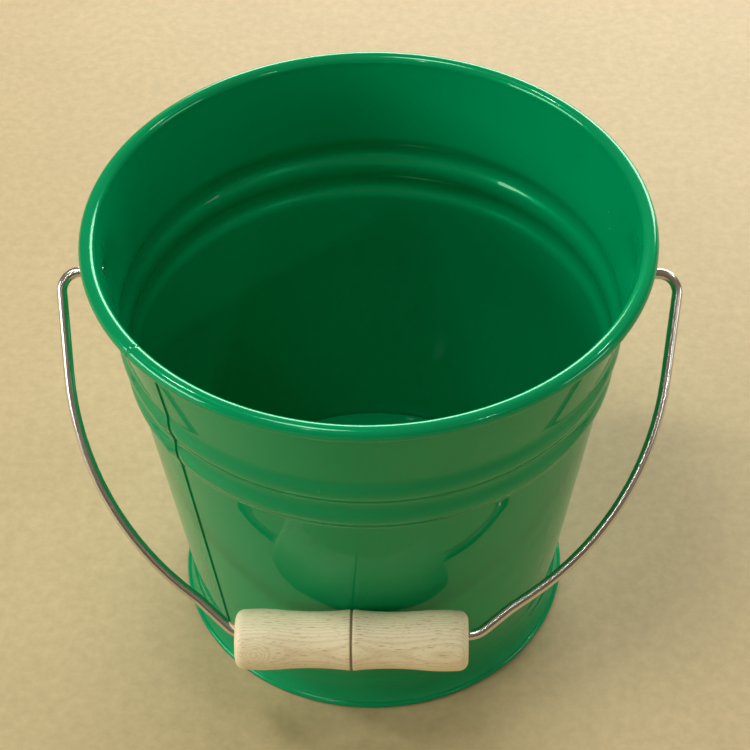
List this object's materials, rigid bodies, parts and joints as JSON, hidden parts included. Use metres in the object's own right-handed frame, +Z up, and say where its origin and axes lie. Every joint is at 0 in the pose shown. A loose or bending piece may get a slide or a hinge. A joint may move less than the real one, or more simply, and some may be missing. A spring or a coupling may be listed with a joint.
{
  "type": "florist bucket",
  "caption": "Small round tapered bucket in green enamelled steel with a rolled rim, two swaged beads, a flared foot ring and a swinging wire bail with a turned wooden grip.",
  "frame": {"origin": "centre of the foot ring's underside, on the surface the bucket stands on", "axes": "+Z up along the bucket's axis; the two ears lie on X; the bail hangs towards -Y with its grip against the wall"},
  "size_m": [0.2321, 0.2106, 0.1885],
  "materials": {
    "green_enamel": "glossy stoved enamel on thin steel sheet",
    "core_steel": "plain drawn steel wire, hidden in the rolled rim",
    "bright_wire": "bright drawn steel wire, fine lengthwise draw marks",
    "beech": "turned and sanded pale beech with a thin satin seal"
  },
  "bodies": {
    "bucket": {"wall_shell": "green_enamel", "rim_wire": "core_steel", "floor_pan": "green_enamel", "foot_ring": "green_enamel"},
    "bail": {"bail_wire": "bright_wire"},
    "grip": {"wood_grip": "beech"}
  },
  "joints": [
    {"name": "bail_swing", "type": "hinge", "parent": "bucket", "child": "bail", "pos_m": [0, 0, 0.1638], "axis": [-1, 0, 0], "range_deg": [0, 272.87]},
    {"name": "grip_turn", "type": "hinge", "parent": "bail", "child": "grip", "pos_m": [-0.006, -0.09421, 0.06475], "axis": [1, 0, 0], "continuous": true}
  ]
}
